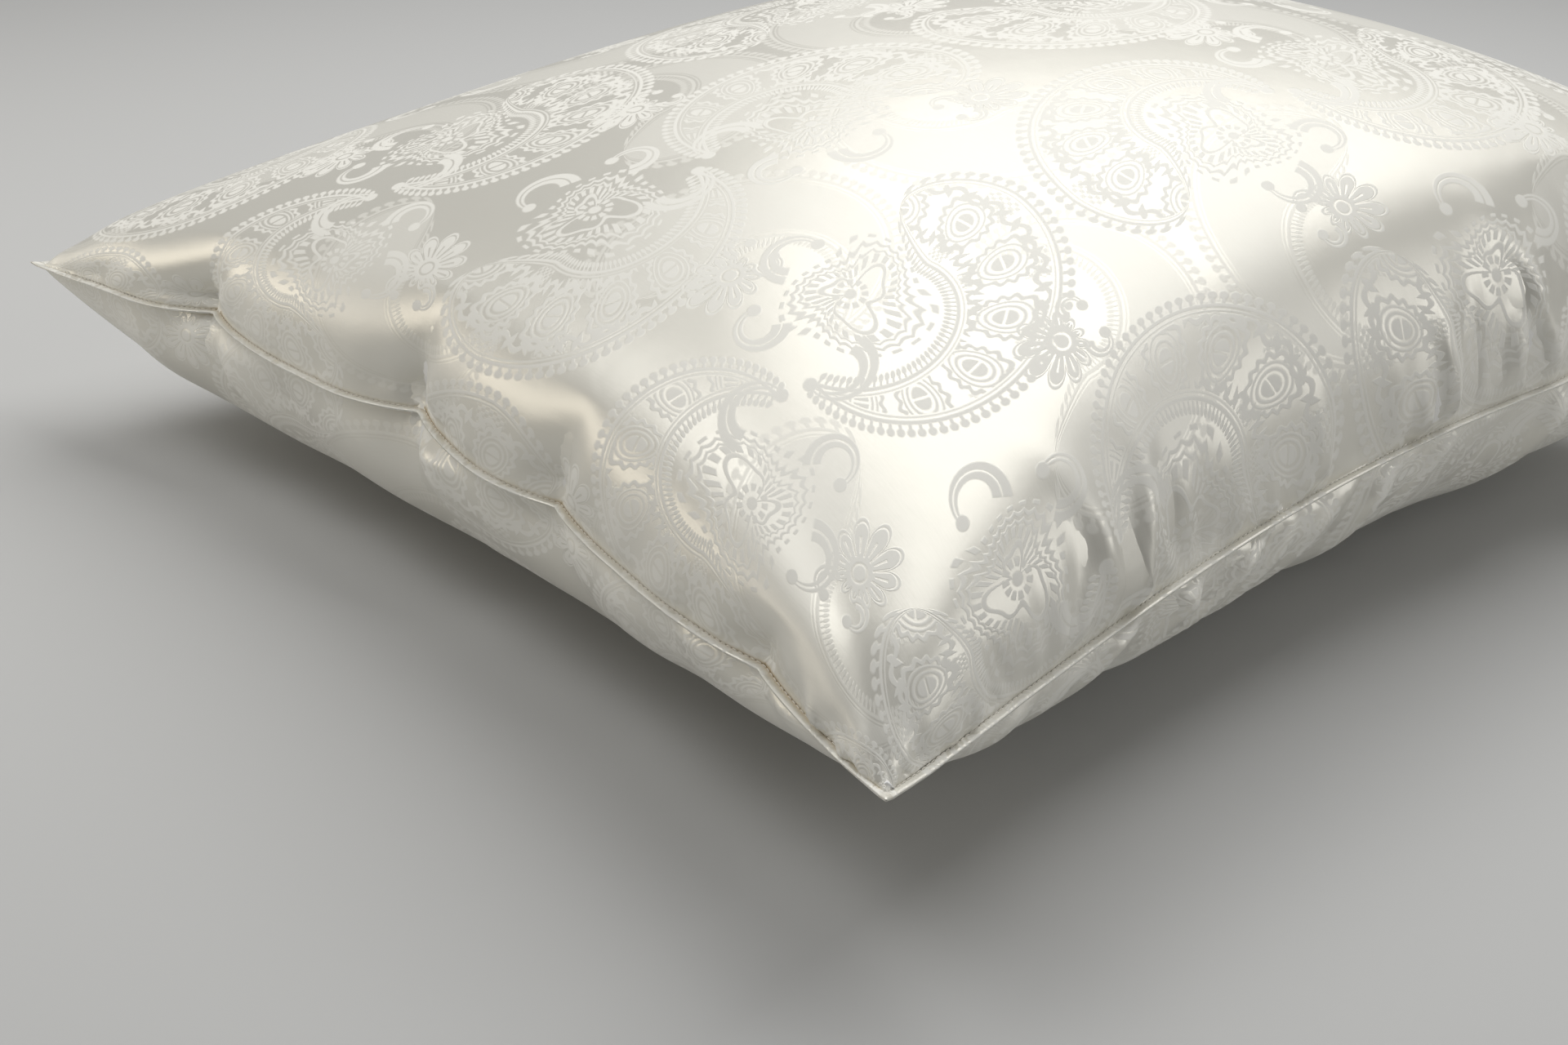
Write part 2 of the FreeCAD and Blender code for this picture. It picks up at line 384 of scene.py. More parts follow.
def fold_panel(points, flat, top):
    """Adds the kinks' dents and the puckers to a settled panel."""
    flat_u, flat_v = np.meshgrid(flat, flat, indexing="ij")
    normal = grid_normals(points)
    if not top:
        normal = -normal
    edge = (1 - np.maximum(np.abs(flat_u), np.abs(flat_v))) * CUT / 2
    sideways = unit(level(normal) + OUTWARD_HINT * unit(level(points)))
    inside = smooth_step(0.0, SIDEWAYS_REACH, edge)[..., None]
    facing = unit(sideways * (1 - inside) + normal * inside)
    dent = kink_dent(flat_u, flat_v, top)[..., None]
    raised = all_puckers(flat_u, flat_v, top)[..., None]
    corner = corner_distance(flat_u, flat_v)[..., None]
    raised = raised * smooth_step(*(CORNER_CALM if top else CORNER_CALM_UNDER), corner)
    rise = KINK_RISE * dent * (1 - smooth_step(0.0, KINK_RISE_REACH, edge)[..., None]) * [0, 0, 1]
    return points + facing * (raised - dent) + rise


# ---- the flat flange and the closed shells of the panels ----------------------------------
FLANGE_PLACES = (0.0, 0.35, 0.7, 0.9, 1.0)      # across the flange, from the seam line outwards
FLANGE_THICK = (1.0, 1.0, 1.0, 0.75, 0.0)       # the panel's thickness there, rounded at the fold
ROWS = len(FLANGE_PLACES) - 1
OUTWARD_SMOOTHING = 10    # passes that even out the flange's direction round the kinks
MITRE = 1.1               # the flange's width at a corner, measured along the other side
MITRE_REACH = 0.030


def outward_at_seam(points):
    """Level unit vectors that point out of the seam line on each side, mitred at its ends."""
    lines = {
        "left": (points[0], points[1]),
        "right": (points[-1], points[-2]),
        "front": (points[:, 0], points[:, 1]),
        "back": (points[:, -1], points[:, -2]),
    }
    sides = {}
    for side, (line, beside) in lines.items():
        smooth = line
        for _ in range(OUTWARD_SMOOTHING):
            smooth = np.concatenate([smooth[:1], (smooth[:-2] + smooth[2:]) / 2, smooth[-1:]])
        tangent = unit(level(np.gradient(smooth, axis=0)))
        across = np.stack([tangent[:, 1], -tangent[:, 0], np.zeros(len(line))], -1)
        from_middle = line - points.mean(axis=(0, 1))
        across = across * np.sign(np.sum(across * from_middle, -1, keepdims=True))
        walked = np.cumsum(np.linalg.norm(np.gradient(line, axis=0), axis=1))
        first = (1 - smooth_step(0.0, MITRE_REACH, walked))[:, None]
        last = (1 - smooth_step(0.0, MITRE_REACH, walked[-1] - walked))[:, None]
        end_low, end_high = (unit(line[k] - beside[k]) * MITRE for k in (0, -1))
        sides[side] = across * (1 - first - last) + end_low * first + end_high * last
    return sides


def with_flange(points, outward):
    """The grid with the flange's rows added round it, on the plane that the panels share."""
    count = points.shape[0]
    total = count + 2 * ROWS
    place = np.clip(np.arange(total) - ROWS, 0, count - 1)
    beyond = np.zeros(total)
    for row in range(1, ROWS + 1):
        beyond[ROWS - row] = FLANGE_PLACES[row]
        beyond[ROWS + count - 1 + row] = FLANGE_PLACES[row]
    low = np.where(np.arange(total) < ROWS, beyond, 0) * FLANGE
    high = np.where(np.arange(total) >= ROWS + count, beyond, 0) * FLANGE
    grid = points[np.ix_(place, place)]
    grid = grid + low[:, None, None] * outward["left"][place][None]
    grid = grid + high[:, None, None] * outward["right"][place][None]
    grid = grid + low[None, :, None] * outward["front"][place][:, None]
    grid = grid + high[None, :, None] * outward["back"][place][:, None]
    return grid, beyond


def panel_shell(name, shared, beyond, flat, top):
    """A closed thin shell: the face, the flange's rounded fold, and a coarser lining inside."""
    total = shared.shape[0]
    normal = grid_normals(shared) if top else -grid_normals(shared)
    thick = np.interp(beyond, FLANGE_PLACES, FLANGE_THICK)
    thick = np.minimum(thick[:, None], thick[None, :])[..., None] * CLOTH
    face = shared + normal * thick
    index = np.arange(total * total).reshape(total, total)
    faces = grid_cells(index).tolist()
    kept = np.arange(0, total, LINING_STEP)
    coarse = index[np.ix_(kept, kept)].copy()
    coarse[1:-1, 1:-1] = total * total + np.arange((len(kept) - 2) ** 2).reshape(len(kept) - 2, -1)
    lining = shared[np.ix_(kept[1:-1], kept[1:-1])].reshape(-1, 3)
    faces += lining_cells(coarse, index, kept)
    if not top:
        faces = [cell[::-1] for cell in faces]
    points = np.vstack([face.reshape(-1, 3), lining])
    points[:, 2] = np.maximum(points[:, 2], 0.0)
    piece = new_piece(name, points, faces)
    paint_flat_places(piece.data, beyond, flat, kept)
    return piece


def lining_cells(coarse, index, kept):
    """The lining's faces, whose outer ones take in every point of the flange's rim."""
    cells = []
    last = len(kept) - 1
    for a in range(last):
        for b in range(last):
            corners = [(a, b), (a, b + 1), (a + 1, b + 1), (a + 1, b)]
            ring = []
            for (u0, v0), (u1, v1) in zip(corners, corners[1:] + corners[:1]):
                ring.append(int(coarse[u0, v0]))
                on_rim = (u0 == u1 and u0 in (0, last)) or (v0 == v1 and v0 in (0, last))
                if on_rim:
                    for step in range(1, LINING_STEP):
                        share = step / LINING_STEP
                        u = round(kept[u0] + (kept[u1] - kept[u0]) * share)
                        v = round(kept[v0] + (kept[v1] - kept[v0]) * share)
                        ring.append(int(index[u, v]))
            cells.append(ring)
    return cells


def paint_flat_places(mesh, beyond, flat, kept):
    """UV map of the cloth as cut, in metres, and each point's share of the painted shadow in the front
    seam's groove.
    """
    reach = np.concatenate([
        -CUT / 2 - FLANGE * beyond[:ROWS],
        flat * CUT / 2,
        CUT / 2 + FLANGE * beyond[-ROWS:],
    ])
    flat_u, flat_v = np.meshgrid(reach, reach, indexing="ij")
    inner = np.ix_(kept[1:-1], kept[1:-1])
    u = np.concatenate([flat_u.ravel(), flat_u[inner].ravel()])
    v = np.concatenate([flat_v.ravel(), flat_v[inner].ravel()])
    corner = np.empty(len(mesh.loops), dtype=np.int32)
    mesh.loops.foreach_get("vertex_index", corner)
    layer = mesh.uv_layers.new(name="cut")
    layer.data.foreach_set("uv", np.stack([u[corner], v[corner]], -1).ravel())
    in_lining = np.zeros(inner[0].size * inner[1].size)
    shade = np.concatenate([painted_groove_shadow(flat_u, flat_v).ravel(), in_lining])
    # the groove attribute carries the painted shadow of the seam's crevice
    mark = mesh.attributes.new("groove", "FLOAT", "POINT")
    mark.data.foreach_set("value", shade)


# Painted shadow: a warm dark line along the front seam's groove, fuller at the kinks and at the side's
# right end, stands in for the shade in the crevice between flange and panel.
GROOVE_MIDDLE = 0.0004    # the groove's middle, from the seam line inwards
GROOVE_WIDTH = 0.0019
GROOVE_EVERYWHERE = 0.14  # shares of the full shade along the whole side, for each metre that a
GROOVE_AT_KINKS = 75      # kink is deep, and at the side's right end, where the lips stand apart
GROOVE_AT_END = 0.90


def painted_groove_shadow(cut_u, cut_v):
    """How much of the warm painted shadow inside the front seam's groove a place on the panel has."""
    line = np.exp(-((cut_v + CUT / 2 - GROOVE_MIDDLE) / GROOVE_WIDTH) ** 2)
    kinked = np.zeros_like(cut_u)
    for side, place, depth, _, _ in KINKS:
        if side == "front":
            offset = cut_u - place
            kinked += np.where(offset < 0, np.exp(offset / 0.004), np.exp(-offset / 0.03)) * depth
    near_end = smooth_step(0.18, 0.28, cut_u) * (1 - smooth_step(0.360, 0.372, cut_u))
    shade = GROOVE_EVERYWHERE + GROOVE_AT_KINKS * kinked + GROOVE_AT_END * near_end
    return np.clip(line * shade, 0, 1)


# ---- building the cover -------------------------------------------------------------------
coarse_flat = np.linspace(-1, 1, SIM_CELLS + 1)
coarse_top = filled_panel(coarse_flat, True)
coarse_bottom = filled_panel(coarse_flat, False)
coarse_top, coarse_bottom = settle(coarse_top, coarse_bottom, coarse_flat)

fine_flat = flat_stations(FINE_CELLS, CROWDING)
reader = cubic_reader(fine_flat, SIM_CELLS)
fine_top = np.einsum("ia,abk,jb->ijk", reader, coarse_top, reader, optimize=True)
fine_bottom = np.einsum("ia,abk,jb->ijk", reader, coarse_bottom, reader, optimize=True)
fine_top = fold_panel(fine_top, fine_flat, True)
fine_bottom = fold_panel(fine_bottom, fine_flat, False)
hover = fine_bottom[..., 2].min() - CLOTH
fine_bottom[..., 2] -= hover * smooth_step(SEAM_Z, 0.0, fine_bottom[..., 2])
for edge in (np.s_[0], np.s_[-1], np.s_[:, 0], np.s_[:, -1]):
    seam_line = (fine_top[edge] + fine_bottom[edge]) / 2
    fine_top[edge] = seam_line
    fine_bottom[edge] = seam_line

outward = outward_at_seam(fine_top)
shared_top, beyond = with_flange(fine_top, outward)
shared_bottom, _ = with_flange(fine_bottom, outward)
top_panel = panel_shell("jacquard_top", shared_top, beyond, fine_flat, True)
bottom_panel = panel_shell("jacquard_bottom", shared_bottom, beyond, fine_flat, False)


# ---- seams, the bag inside, the down and the label ----------------------------------------
STITCH = 0.0030           # length of a stitch
STITCH_GAP = 0.0006
THREAD_R = 0.00025
THREAD_IN_FLANGE = 0.0011
CORNER_CLEAR = 0.006      # the topstitching stops this far from the ends of a side
JOIN_IN_FLANGE = 0.0040
JOIN_THREAD_R = 0.0002
HIDDEN_STEP = 0.004       # distance between the points of a hidden thread
BAG_SEAM_CLEAR = 0.004    # the bag's seam stops this far from its corners
BAG_THREAD_R = 0.0003
INNER_STEP = 4            # the inner pieces use every fourth point of the cover's mesh
TICKING_DEPTH = 0.0030    # from the cover's inner face to the ticking's outer face
TICKING_T = 0.0006
FILL_DEPTH = 0.0045
LABEL_WIDTH = 0.030
LABEL_LENGTH = 0.034
LABEL_T = 0.0003


def side_line(side, grid):
    """A side's row of points, from left to right as seen from outside."""
    rows = {"front": grid[:, 0], "right": grid[-1], "back": grid[::-1, -1], "left": grid[0, ::-1]}
    return rows[side]


def side_outward(side):
    """The flange's direction along a side, in the same order as side_line."""
    return outward[side] if side in ("front", "right") else outward[side][::-1]


def resampled(line, step, start, end):
    """Even points along a line, from start to end metres along it."""
    walked = np.concatenate([[0], np.cumsum(np.linalg.norm(np.diff(line, axis=0), axis=1))])
    count = max(2, int((walked[-1] - start - end) / step))
    spots = np.linspace(start, walked[-1] - end, count + 1)
    return np.stack([np.interp(spots, walked, line[:, axis]) for axis in range(3)], -1)


def rod_faces(rings, offset):
    """Faces of a closed six-sided rod of so many rings, whose points start at number offset."""
    faces = [[offset + k for k in range(5, -1, -1)]]
    for row in range(rings - 1):
        for k in range(6):
            a, b = offset + row * 6 + k, offset + row * 6 + (k + 1) % 6
            faces.append([a, b, b + 6, a + 6])
    faces.append([offset + (rings - 1) * 6 + k for k in range(6)])
    return faces


def capsule(start, end, radius, arch):
    """A stitch: a short thread that rises out of the cloth and goes back in, six-sided."""
    shares = np.array([0.0, 0.12, 0.35, 0.65, 0.88, 1.0])
    lift = np.array([-0.9, 0.2, 1.0, 1.0, 0.2, -0.9])
    girth = np.array([0.55, 0.95, 1.0, 1.0, 0.95, 0.55]) * radius
    ahead = unit(end - start)
    across = unit(np.cross(ahead, arch))
    up = np.cross(across, ahead)
    turn = np.arange(6) * math.pi / 3
    centres = start + shares[:, None] * (end - start) + lift[:, None] * radius * 0.5 * up
    ring = np.cos(turn)[:, None] * across + np.sin(turn)[:, None] * up
    return (centres[:, None] + girth[:, None, None] * ring).reshape(-1, 3)


def stitched_side(side):
    """The needle's and the bobbin's stitches along one side, above and below the flange."""
    line = side_line(side, fine_top) + side_outward(side) * THREAD_IN_FLANGE
    spots = resampled(line, STITCH + STITCH_GAP, CORNER_CLEAR, CORNER_CLEAR)
    points, faces, offset = [], [], 0
    for start, end in zip(spots[:-1], spots[1:]):
        ahead = unit(end - start)
        out = unit(level(start + end))
        up = unit(np.cross(out, ahead))
        up = up if up[2] > 0 else -up
        for arch in (up, -up):
            lift = arch * (CLOTH + THREAD_R * 0.35)
            reach = ahead * STITCH_GAP / 2
            points.append(capsule(start + lift + reach, end + lift - reach, THREAD_R, arch))
            faces += rod_faces(len(points[-1]) // 6, offset)
            offset += len(points[-1])
    return new_piece(f"topstitching_{side}", np.vstack(points), faces)


def tube(line, radius):
    """Points of a six-sided thread along a line."""
    ahead = unit(np.gradient(line, axis=0))
    across = unit(np.cross(ahead, [0, 0, 1]))
    up = np.cross(across, ahead)
    turn = np.arange(6) * math.pi / 3
    ring = np.cos(turn)[None, :, None] * across[:, None] + np.sin(turn)[None, :, None] * up[:, None]
    return (line[:, None] + radius * ring).reshape(-1, 3)


def threads(name, lines, radius):
    points, faces, offset = [], [], 0
    for line in lines:
        points.append(tube(line, radius))
        faces += rod_faces(len(line), offset)
        offset += len(points[-1])
    return new_piece(name, np.vstack(points), faces)


def inner_grids(depth):
    """The cover's two grids, thinned and moved in by depth, and brought together at the edge."""
    kept = np.arange(2, FINE_CELLS - 1, INNER_STEP)
    pick = np.ix_(kept, kept)
    upper = fine_top[pick] - grid_normals(fine_top)[pick] * depth
    lower = fine_bottom[pick] + grid_normals(fine_bottom)[pick] * depth
    lower[..., 2] = np.maximum(lower[..., 2], CLOTH + depth)
    middle = (upper + lower) / 2
    count = len(kept)
    ring = np.minimum(np.arange(count), count - 1 - np.arange(count))
    ring = np.minimum(ring[:, None], ring[None, :])[..., None]
    pull = np.select([ring == 0, ring == 1, ring == 2], [1.0, 0.45, 0.15], 0.0)
    return upper * (1 - pull) + middle * pull, lower * (1 - pull) + middle * pull


def thin_shell(name, outer, inner, turned_over=False):
    """A closed shell between two grids of points."""
    index = np.arange(outer.shape[0] * outer.shape[1]).reshape(outer.shape[:2])
    shift = index.size
    faces = grid_cells(index).tolist() + grid_cells(index + shift)[:, ::-1].tolist()
    rim = np.concatenate([index[:-1, 0], index[-1, :-1], index[:0:-1, -1], index[0, :0:-1]])
    for a, b in zip(rim, np.roll(rim, -1)):
        faces.append([int(b), int(a), int(a) + shift, int(b) + shift])
    if turned_over:
        faces = [cell[::-1] for cell in faces]
    return new_piece(name, np.vstack([outer.reshape(-1, 3), inner.reshape(-1, 3)]), faces)


def care_label(back_x, wide, long, thick):
    """A ribbon folded in two under the back flange, which hangs out and droops a little."""
    line = side_line("back", fine_top)
    nearest = np.argmin(np.abs(line[:, 0] - back_x))
    root = line[nearest] - [0, 0, CLOTH + thick * 1.2]
    out = unit(level(side_outward("back")[nearest]))
    across = np.array([out[1], -out[0], 0.0])
    rows, columns = 22, 8
    fold = np.linspace(0, 1, rows)
    reach = np.where(fold < 0.5, fold, 1 - fold) * 2
    reach = np.sin(reach * math.pi / 2) * 0.35 + reach * 0.65
    under = smooth_step(0.40, 0.60, fold)
    forward = 0.0028 + reach * long
    droop = -0.16 * forward ** 2 / long - under * thick * 2.4
    curl = np.linspace(-1, 1, columns + 1)
    middle = root + out * forward[:, None] + np.array([0, 0, 1]) * droop[:, None]
    grid = middle[:, None] + across * (curl[None, :, None] * wide / 2)
    grid[..., 2] -= 0.0012 * curl[None, :] ** 2 * reach[:, None]
    normal = unit(np.cross(np.gradient(grid, axis=0), np.gradient(grid, axis=1)))
    return thin_shell("care_label_ribbon", grid + normal * thick / 2, grid - normal * thick / 2)


SIDES = ("front", "right", "back", "left")
topstitching = {side: stitched_side(side) for side in SIDES}
join_lines = []
for side in ("right", "back", "left"):
    seam = side_line(side, fine_top) + side_outward(side) * JOIN_IN_FLANGE
    join_lines.append(resampled(seam, HIDDEN_STEP, CORNER_CLEAR, CORNER_CLEAR))
joining_thread = threads("joining_seam", join_lines, JOIN_THREAD_R)

bag_top, bag_bottom = inner_grids(TICKING_DEPTH)
bag_top_inner, bag_bottom_inner = inner_grids(TICKING_DEPTH + TICKING_T)
ticking_top = thin_shell("ticking_bag_top", bag_top, bag_top_inner)
ticking_bottom = thin_shell("ticking_bag_bottom", bag_bottom, bag_bottom_inner, turned_over=True)
bag_lines = [
    resampled(side_line(side, bag_top), HIDDEN_STEP, BAG_SEAM_CLEAR, BAG_SEAM_CLEAR)
    for side in SIDES
]
ticking_thread = threads("ticking_seam", bag_lines, BAG_THREAD_R)
fill_top, fill_bottom = inner_grids(FILL_DEPTH)
fill_points, fill_faces, _, _ = two_panels(fill_top, fill_bottom)
down = new_piece("down_filling", fill_points, fill_faces)
label_low, label_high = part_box("care_label")
label = care_label((label_low[0] + label_high[0]) / 2, LABEL_WIDTH, LABEL_LENGTH, LABEL_T)


# ---- materials ----------------------------------------------------------------------------
class Number:
    """A number that a material works out at each point. It takes part in formulas."""

    def __init__(self, tree, socket):
        self.tree = tree
        self.socket = socket

    def apply(self, operation, *others, clamp=False):
        node = self.tree.nodes.new("ShaderNodeMath")
        node.operation = operation
        node.use_clamp = clamp
        for socket, value in zip(node.inputs, (self, *others)):
            if isinstance(value, Number):
                self.tree.links.new(value.socket, socket)
            else:
                socket.default_value = value
        return Number(self.tree, node.outputs[0])

    def __add__(self, other):
        return self.apply("ADD", other)

    def __sub__(self, other):
        return self.apply("SUBTRACT", other)

    def __mul__(self, other):
        return self.apply("MULTIPLY", other)

    def __truediv__(self, other):
        return self.apply("DIVIDE", other)

    def __rsub__(self, other):
        return self.apply("MULTIPLY", -1.0).apply("ADD", other)

    __radd__ = __add__

    def size(self):
        return self.apply("ABSOLUTE")

    def floor(self):
        return self.apply("FLOOR")

    def fraction(self):
        return self.apply("FRACT")

    def wrapped(self, period):
        """The number's place in its period, from -period / 2 to period / 2."""
        return self.apply("WRAP", period / 2, -period / 2)

    def cosine(self):
        return self.apply("COSINE")

    def sine(self):
        return self.apply("SINE")

    def root(self):
        return self.apply("SQRT")

    def most(self, other):
        return self.apply("MAXIMUM", other)

    def least(self, other):
        return self.apply("MINIMUM", other)

    def above(self, edge, soft):
        """1 where the number is above the edge and 0 below it, with a soft step between."""
        return self.apply("MULTIPLY_ADD", 1 / soft, 0.5 - edge / soft, clamp=True)

    def below(self, edge, soft):
        return self.apply("MULTIPLY_ADD", -1 / soft, 0.5 + edge / soft, clamp=True)

    def between(self, low, high, soft):
        return (self - (low + high) / 2).size().below((high - low) / 2, soft)

    def scaled(self, low, high, out_low, out_high):
        """Maps low..high onto out_low..out_high and stays inside that."""
        node = self.tree.nodes.new("ShaderNodeMapRange")
        self.tree.links.new(self.socket, node.inputs["Value"])
        limits = {"From Min": low, "From Max": high, "To Min": out_low, "To Max": out_high}
        for name, value in limits.items():
            node.inputs[name].default_value = value
        return Number(self.tree, node.outputs["Result"])


def distance(x, y):
    return (x * x + y * y).root()


def turned(x, y, degrees):
    c, s = math.cos(math.radians(degrees)), math.sin(math.radians(degrees))
    return x * c + y * s, y * c - x * s


# ---- the woven pattern, in millimetres ----------------------------------------------------
CELL = 142.0              # one repeat of the pattern holds two by two cells
SHIFT_U, SHIFT_V = 34.0, 25.0        # place of the first motif on the cut panel
LINE_SOFT = 0.7           # width of a soft edge in the weave
PICOT_PITCH = 4.0
PATTERN_SCALE = 1.12      # millimetres of cloth for each millimetre of the drawing


def lattice(u, v, shift_u, shift_v):
    """Local place in a half-drop lattice whose motifs are turned and mirrored by turns."""
    across = (u + shift_u) / CELL
    column = across.floor()
    odd = column.wrapped(2.0).size()
    up = (v + shift_v) / CELL + odd * 0.5
    row = up.floor()
    odd_row = row.wrapped(2.0).size()
    x = (across - column - 0.5) * CELL
    y = (up - row - 0.5) * CELL
    flip = 1 - odd * 2
    turn = 1 - odd_row * 2
    return x * flip * turn, y * turn


def paisley(x, y, filled):
    """A crescent with a round head and a curling tail, picots along its edge and lace inside."""
    ring = distance(x, y)
    angle = y.apply("ARCTAN2", x)
    around = (angle + 1.25).wrapped(2 * math.pi) + 1.45        # 0 at the head's tip
    spine = 58.0 - around * 3.6
    off = ring - spine
    head = 0.62
    blunt = (1 - ((around - head) / head).apply("POWER", 2.0).least(1.0)).root()
    taper = (1 - (around - head) / (3.75 - head)).most(0.0)
    past = around.above(head, 0.02)
    wide = (blunt * (1 - past) + past * taper.apply("POWER", 0.85)) * 29.0
    inside = wide - off.size()
    along = around * 56.0
    on = around.between(0.0, 3.72, 0.02)

    tooth = (along / PICOT_PITCH).fraction() - 0.5
    reach = inside + 3.4
    bead = distance(tooth * PICOT_PITCH, reach * 0.85).below(1.55, LINE_SOFT)
    stem = tooth.size().below(0.16, 0.12) * inside.between(-3.0, 0.4, LINE_SOFT)
    picots = bead.most(stem)
    rim = inside.between(0.2, 1.9, LINE_SOFT).most(inside.between(3.0, 3.9, LINE_SOFT) * 0.8)
    shape = picots.most(rim) * on
    if filled:
        shape = shape.most(lace(along, off, wide) * inside.above(4.6, LINE_SOFT) * on)
    else:
        core = inside.above(4.6, LINE_SOFT) * 0.75
        shape = shape.most(core * on)
    return shape


def lace(along, off, wide):
    """Filling of a paisley: a chain of ringed drops, scrolls beside them and a fine net."""
    step = 30.0
    s = along.wrapped(step)
    drop = distance(s * 0.95, off * 0.72 + s * 0.25)
    solid = drop.below(3.9, LINE_SOFT)
    vein = (off * 0.72).size().below(0.45, 0.5) * drop.below(4.2, 0.5)
    rings = drop.between(5.2, 6.3, LINE_SOFT).most(drop.between(7.6, 8.5, LINE_SOFT))
    petal = s.apply("ARCTAN2", off) * 12.0
    scallop = (drop + petal.cosine() * 0.8).between(9.6, 11.6, LINE_SOFT)
    scroll = (off.size() - 15.0 - (along * 0.42).sine() * 3.2).size()
    vine = scroll.below(1.5, LINE_SOFT)
    leaf = (off.size() - 15.0 + (along * 0.42).sine() * 3.4).size().below(2.4, LINE_SOFT)
    leaf = leaf * (along * 0.84).cosine().above(-0.1, 0.4)
    net = ((along * 1.7).sine() * (off * 1.7).sine()).above(-0.05, 0.5) * 0.75
    net = net * (along * 0.21 + 0.7).sine().above(0.15, 0.3)
    outer = scallop.most(vine).most(leaf).most(net * drop.above(12.4, 1.0))
    return (solid - vein).most(rings).most(outer)


def tendril(x, y, centre_x, centre_y, radius, start, sweep, wide):
    """A leaf that curls round a circle, wide at its root and with a round tip."""
    dx, dy = x - centre_x, y - centre_y
    ring = distance(dx, dy)
    around = (dy.apply("ARCTAN2", dx) - start - math.pi).wrapped(2 * math.pi) + math.pi
    share = around / sweep
    half = 0.8 + (1 - share).most(0.0) * wide
    body = ((ring - radius).size() - half).below(0.0, LINE_SOFT) * share.between(0.0, 1.0, 0.03)
    slit = (ring - radius).size().above(0.35, 0.6)
    tip_x = centre_x + radius * math.cos(start + sweep)
    tip_y = centre_y + radius * math.sin(start + sweep)
    tip = distance(x - tip_x, y - tip_y).below(2.6, LINE_SOFT)
    return (body * slit).most(tip)


def bouquet(x, y):
    """A mango-shaped spray: scalloped outlines, a lacy ground, an eye, and curling tendrils."""
    ring = distance(x, y * 1.1)
    angle = y.apply("ARCTAN2", x)
    lobed = ring + (angle * 3.0 + ring * 0.13 + 0.9).cosine() * 4.2 + (angle - 0.8).sine() * 4.0
    scallop = (angle * 16.0).cosine().size()
    edge = (lobed + scallop * 1.7).between(22.2, 24.0, LINE_SOFT)
    inner = (lobed + scallop * 1.3).between(18.8, 20.0, LINE_SOFT)
    ribs = (angle * 30.0 + ring * 0.35).cosine().above(-0.1, 0.5) * lobed.between(13.2, 17.4, LINE_SOFT)
    vine = (lobed - 10.2 - (angle * 6.0).cosine() * 1.8).size().below(1.0, LINE_SOFT)
    beads = (angle * 27.0).cosine().above(0.1, 0.5) * lobed.between(25.2, 27.2, LINE_SOFT)
    lashes = ring.between(4.2, 7.0, LINE_SOFT) * (angle * 11.0).cosine().above(-0.4, 0.5)
    eye = ring.below(2.4, LINE_SOFT).most(lashes)
    spray = edge.most(inner).most(ribs).most(beads).most(vine).most(eye)
    spray = spray.most(tendril(x, y, 28.0, 14.0, 11.0, -2.2, 3.6, 3.6))
    spray = spray.most(tendril(x, y, -2.0, 33.0, 8.0, -1.2, 4.4, 2.8))
    return spray.most(tendril(x, y, -27.0, 12.0, 9.5, 0.6, 3.9, 3.2))


def rosette(x, y):
    """A palmette: a fan of outlined leaves, longer at the top, on two scrolls."""
    ring = distance(x, y)
    angle = y.apply("ARCTAN2", x)
    petal = (angle * 5.5).cosine().size()
    reach = (8.5 + petal.root() * 8.5) * (1.0 + angle.sine() * 0.34)
    inside = reach - ring
    outline = inside.between(0.0, 1.3, LINE_SOFT)
    leaf = inside.above(2.3, LINE_SOFT) * petal.above(0.34, 0.14)
    vein = petal.above(0.975, 0.03) * ring.between(7.5, 14.0, 0.6)
    eye = ring.between(3.0, 4.2, LINE_SOFT)
    flower = outline.most(leaf * (1 - vein)).most(ring.below(6.4, 0.5)) * (1 - eye)
    return flower.most(tendril(x.size() * -1.0, y, -9.5, -13.5, 5.0, 0.9, 4.2, 1.8))


def motif_mask(tree, uv):
    """1 where the weft shows, in the motifs, and 0 on the satin ground; ghosts are between."""
    split = tree.nodes.new("ShaderNodeSeparateXYZ")
    tree.links.new(uv, split.inputs[0])
    u = Number(tree, split.outputs["X"]) * (1000.0 / PATTERN_SCALE)
    v = Number(tree, split.outputs["Y"]) * (1000.0 / PATTERN_SCALE)
    x, y = turned(*lattice(u, v, SHIFT_U, SHIFT_V), 24.0)
    x, y = x - 6.0, y - 19.0
    main = paisley(x, y, True).most(bouquet((x + 12.0) * 0.84, (y - 10.0) * 0.84))
    x, y = turned(*lattice(u, v, SHIFT_U + CELL / 2, SHIFT_V + CELL * 0.30), -62.0)
    ghost = paisley(x - 6.0, y - 19.0, False) * 0.46
    x, y = lattice(u, v, SHIFT_U + CELL * 0.52, SHIFT_V + 41.0)
    flower = rosette(x - 6.0, y - 6.0)
    return main.most(ghost).most(flower)


def new_material(name):
    material = bpy.data.materials.new(name)
    material.use_nodes = True
    return material, material.node_tree, material.node_tree.nodes["Principled BSDF"]


def plain_material(name, colour, roughness):
    material, _, shader = new_material(name)
    shader.inputs["Base Color"].default_value = (*colour, 1)
    shader.inputs["Roughness"].default_value = roughness
    return material


def blend_colours(tree, share, low, high):
    node = tree.nodes.new("ShaderNodeMix")
    node.data_type = "RGBA"
    tree.links.new(share, node.inputs["Factor"])
    for socket, colour in ((node.inputs[6], low), (node.inputs[7], high)):
        if isinstance(colour, tuple):
            socket.default_value = (*colour, 1)
        else:
            tree.links.new(colour, socket)
    return node.outputs[2]


def noise(tree, vector, scale, detail, stretch=(1, 1, 1)):
    mapping = tree.nodes.new("ShaderNodeMapping")
    mapping.inputs["Scale"].default_value = stretch
    tree.links.new(vector, mapping.inputs["Vector"])
    node = tree.nodes.new("ShaderNodeTexNoise")
    node.inputs["Scale"].default_value = scale
    node.inputs["Detail"].default_value = detail
    tree.links.new(mapping.outputs["Vector"], node.inputs["Vector"])
    return Number(tree, node.outputs["Fac"])


